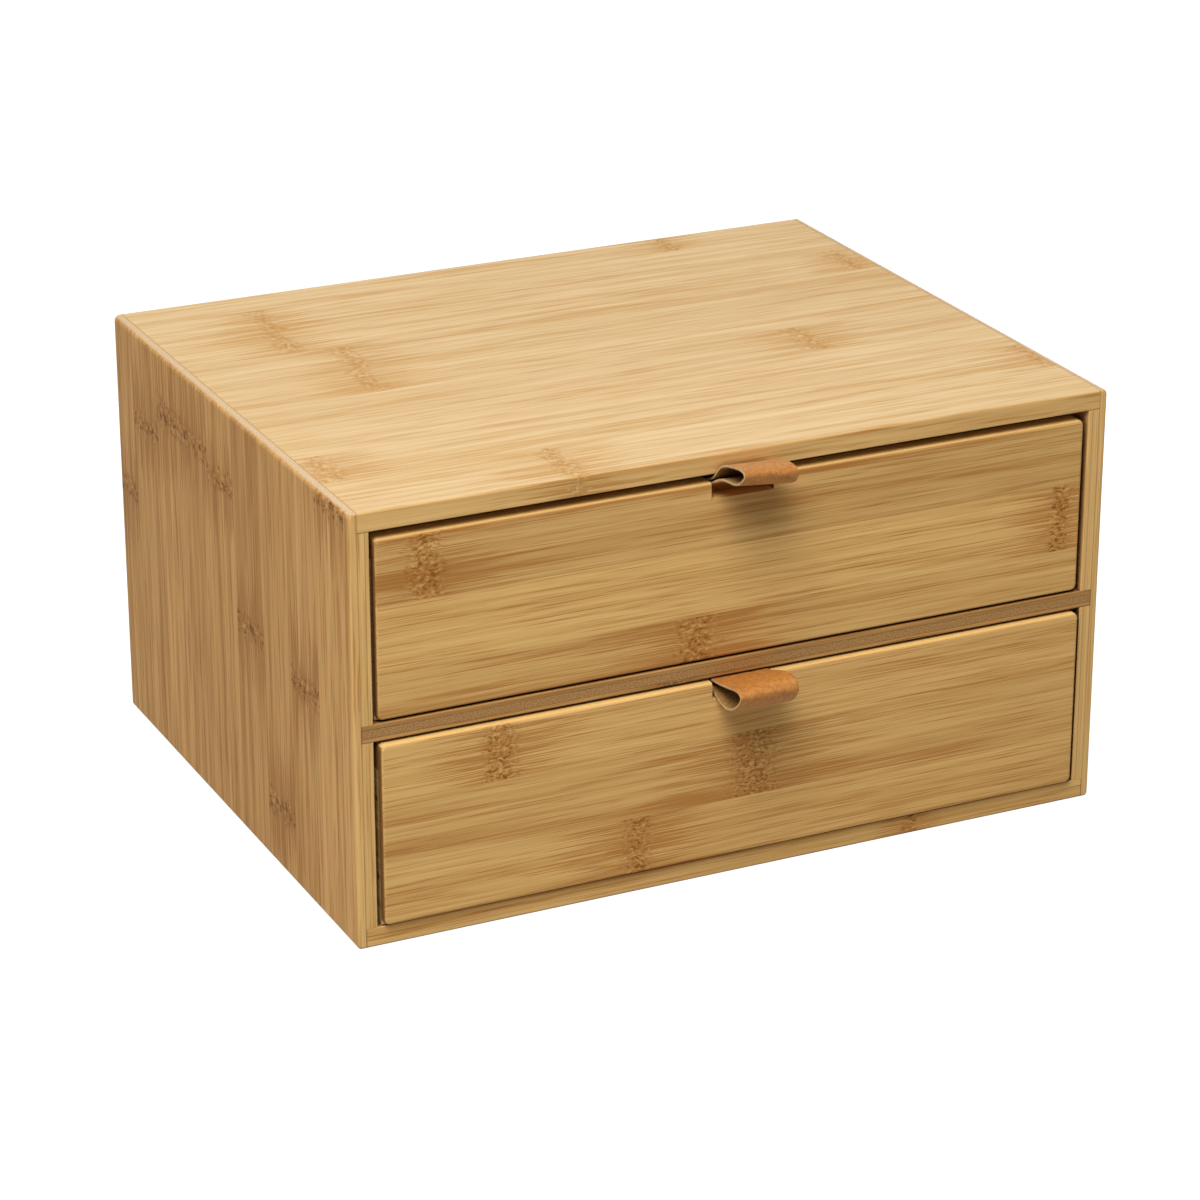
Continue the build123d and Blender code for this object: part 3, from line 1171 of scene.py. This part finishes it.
@dataclass(frozen=True)
class PhotoCamera:
    """Camera at the photograph's angle, in degrees, millimetres and pixels of the square photograph."""

    azimuth: float = -25.5
    elevation: float = 22.2
    distance: float = 1645.0
    right: float = 1.0
    up: float = -19.0
    focal_pixels: float = 4018.0
    farthest: float = 50000.0

    def build(self, middle: Vector) -> bpy.types.Object:
        """Place the camera.

        Args:
            middle: Middle of the case, which the angles turn about.

        Returns:
            The camera.
        """
        azimuth, elevation = math.radians(self.azimuth), math.radians(self.elevation)
        flat = math.cos(elevation)
        back = Vector((math.sin(azimuth) * flat, -math.cos(azimuth) * flat, math.sin(elevation)))
        right = Vector((math.cos(azimuth), math.sin(azimuth), 0))
        up = back.cross(right)
        data = bpy.data.cameras.new("photo_camera")
        data.sensor_width = SENSOR_WIDTH
        data.lens = self.focal_pixels / PHOTO_SIDE * SENSOR_WIDTH
        data.clip_end = self.farthest * MM
        camera = bpy.data.objects.new("photo_camera", data)
        bpy.context.scene.collection.objects.link(camera)
        camera.location = middle + (back * self.distance + right * self.right + up * self.up) * MM
        camera.rotation_euler = (-back).to_track_quat("-Z", "Y").to_euler()
        bpy.context.scene.camera = camera
        return camera


@dataclass(frozen=True)
class Studio:
    """White floor, high key light from the front left, softbox overhead, weak left fill and faint sky.

    Places and sides are metres, powers are watts.
    """

    key_place: Place = (-0.8, -1.1, 1.9)
    key_power: float = 40.0
    key_side: float = 1.1
    top_place: Place = (-0.2, -0.5, 2.4)
    top_power: float = 16.0
    top_side: float = 1.25
    fill_place: Place = (-1.45, -0.35, 1.1)
    fill_power: float = 1.8
    fill_side: float = 1.2
    sky_strength: float = 0.15
    floor_half: float = 8.0
    floor_drop: float = 0.0002
    floor_glow: float = 0.92
    shown_paper: str = "#A0A0A0"
    lit_paper: str = "#AEAEAE"

    def build(self) -> None:
        """Make the lights, the sky and the floor."""
        self._lamp("key_softbox", self.key_place, self.key_power, self.key_side)
        self._lamp("overhead_softbox", self.top_place, self.top_power, self.top_side)
        self._lamp("fill_softbox", self.fill_place, self.fill_power, self.fill_side)
        self._sky()
        self._floor()

    def _lamp(self, name: str, place: Place, power: float, side: float) -> None:
        """Hang one square softbox that faces the box.

        Args:
            name: Name of the lamp.
            place: Middle of the softbox, in metres.
            power: Its power in watts.
            side: Its side in metres, which softens its shadows.
        """
        data = bpy.data.lights.new(name, "AREA")
        data.energy = power
        data.size = side
        lamp = bpy.data.objects.new(name, data)
        lamp.location = place
        lamp.rotation_euler = Vector(place).to_track_quat("Z", "Y").to_euler()
        bpy.context.scene.collection.objects.link(lamp)

    def _seen(self, graph: Graph) -> Socket:
        """Mask of the rays that show the background itself: straight, mirrored or through glass.

        Args:
            graph: Graph to add to.

        Returns:
            The mask.
        """
        rays = graph.add("LightPath")
        seen = rays.outputs["Is Camera Ray"]
        for kind in ("Is Glossy Ray", "Is Transmission Ray"):
            seen = graph.add("Math", {0: seen, 1: rays.outputs[kind]}, operation="MAXIMUM").outputs[0]
        return seen

    def _sky(self) -> None:
        """White all round, dimmer as a light than as a background."""
        world = bpy.data.worlds.new("softbox_white")
        world.use_nodes = True
        bpy.context.scene.world = world
        graph = Graph(world.node_tree)
        strength = Ramp(0.0, 1.0, self.sky_strength, 1.0).of(self._seen(graph))
        strength = graph.add("MapRange", strength).outputs[0]
        sky = graph.add("Background", {"Color": (1, 1, 1, 1), "Strength": strength}).outputs[0]
        graph.add("OutputWorld", {"Surface": sky})

    def _floor(self) -> None:
        """Pale floor that shows white and keeps a faint shadow."""
        shape = bmesh.new()
        bmesh.ops.create_grid(shape, x_segments=1, y_segments=1, size=self.floor_half)
        bmesh.ops.translate(shape, verts=shape.verts, vec=(0, 0, -self.floor_drop))
        mesh = bpy.data.meshes.new("studio_floor")
        shape.to_mesh(mesh)
        shape.free()
        floor = bpy.data.objects.new("studio_floor", mesh)
        bpy.context.scene.collection.objects.link(floor)
        material, graph = new_material("white_paper_floor")
        glow = graph.add("Emission", {"Strength": self.floor_glow}).outputs[0]
        paper = graph.add("BsdfDiffuse", {"Color": linear(self.shown_paper)}).outputs[0]
        shown = graph.add("AddShader", {0: glow, 1: paper}).outputs[0]
        bounce = graph.add("BsdfDiffuse", {"Color": linear(self.lit_paper)}).outputs[0]
        surface = graph.add("MixShader", {0: self._seen(graph), 1: bounce, 2: shown}).outputs[0]
        graph.add("OutputMaterial", {"Surface": surface})
        mesh.materials.append(material)


def main() -> None:
    """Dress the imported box, fold its pulls, and set up the studio and the camera."""
    logging.basicConfig(level=logging.INFO, format="%(name)s: %(message)s")
    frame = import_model()
    bpy.context.scene.view_settings.view_transform = "Standard"
    nodes = frame["nodes"]
    steel = SteelFinish("dull_zinc_plated_steel", "#A7A096", "#776F64").material()
    leather = tuple(side.material() for side in LEATHER_SIDES)
    drawer = partial(Drawer, nodes=nodes, leather=leather, steel=steel)
    Case(nodes, steel).build()
    drawer(
        "upper_drawer",
        seed=101,
        front_seam=110.2,
        front_rings=(CaneRing(1, -130, 9), CaneRing(0, 141, 6), CaneRing(-1, -19, 11)),
        front_browns=((1, 1.0), (0, 0.15), (-1, 0.6)),
        loop=UPPER_LOOP,
    ).build()
    drawer(
        "lower_drawer",
        seed=211,
        front_seam=32.5,
        front_rings=(CaneRing(1, -102, 9), CaneRing(0, 5, 13), CaneRing(-1, -45, 8)),
        front_browns=((1, 0.25), (0, 0.6), (-1, 0.4)),
        loop=LOWER_LOOP,
    ).build()
    low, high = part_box("left_side_panel")
    Studio().build()
    PhotoCamera().build(Vector((0, 0, (low.z + high.z) / 2)))


if __name__ == "__main__":
    main()
